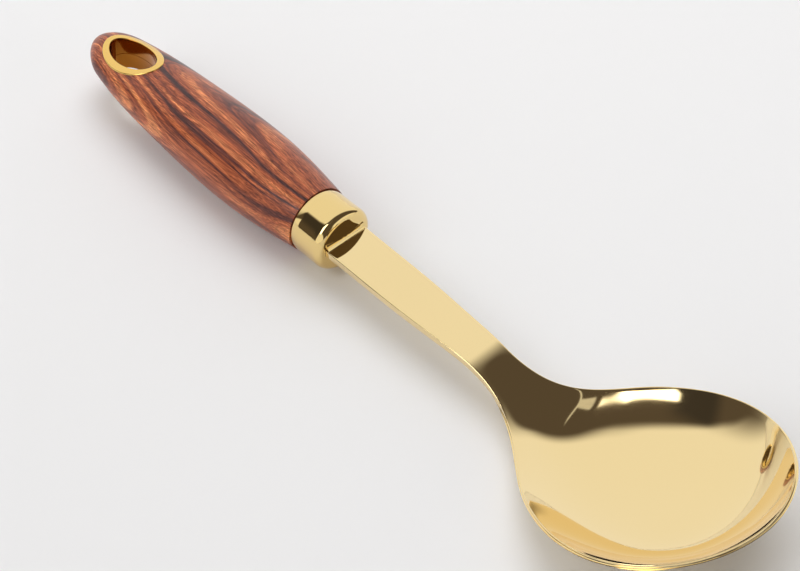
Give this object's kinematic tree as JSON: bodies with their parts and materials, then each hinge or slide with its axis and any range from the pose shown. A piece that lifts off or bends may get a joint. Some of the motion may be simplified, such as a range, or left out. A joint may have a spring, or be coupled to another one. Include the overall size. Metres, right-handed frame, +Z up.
{
  "type": "serving spoon",
  "caption": "Serving spoon with a shallow gold-coloured steel bowl on a flat neck, and a wood-grain handle with a ferrule and an oval hanging eyelet.",
  "frame": {"origin": "centre of the bounding box's bottom face, where the spoon rests on the table", "axes": "+X runs along the spoon from the handle to the bowl, +Z is up out of the open bowl"},
  "size_m": [0.3086, 0.0728, 0.0377],
  "materials": {
    "head_gold": "mirror polished, gold-coloured coating on steel",
    "ferrule_gold": "mirror polished, gold-coloured coating on steel",
    "handle_wood": "reddish rosewood grain under semi-gloss lacquer",
    "tang_steel": "drawn steel rod",
    "glue": "cured adhesive",
    "eyelet_gold": "polished, gold-coloured"
  },
  "bodies": {
    "root": {"spoon_head": "head_gold", "ferrule": "ferrule_gold", "handle": "handle_wood", "tang_rod": "tang_steel", "tang_glue": "glue", "eyelet_front": "eyelet_gold", "eyelet_back": "eyelet_gold"}
  },
  "joints": []
}
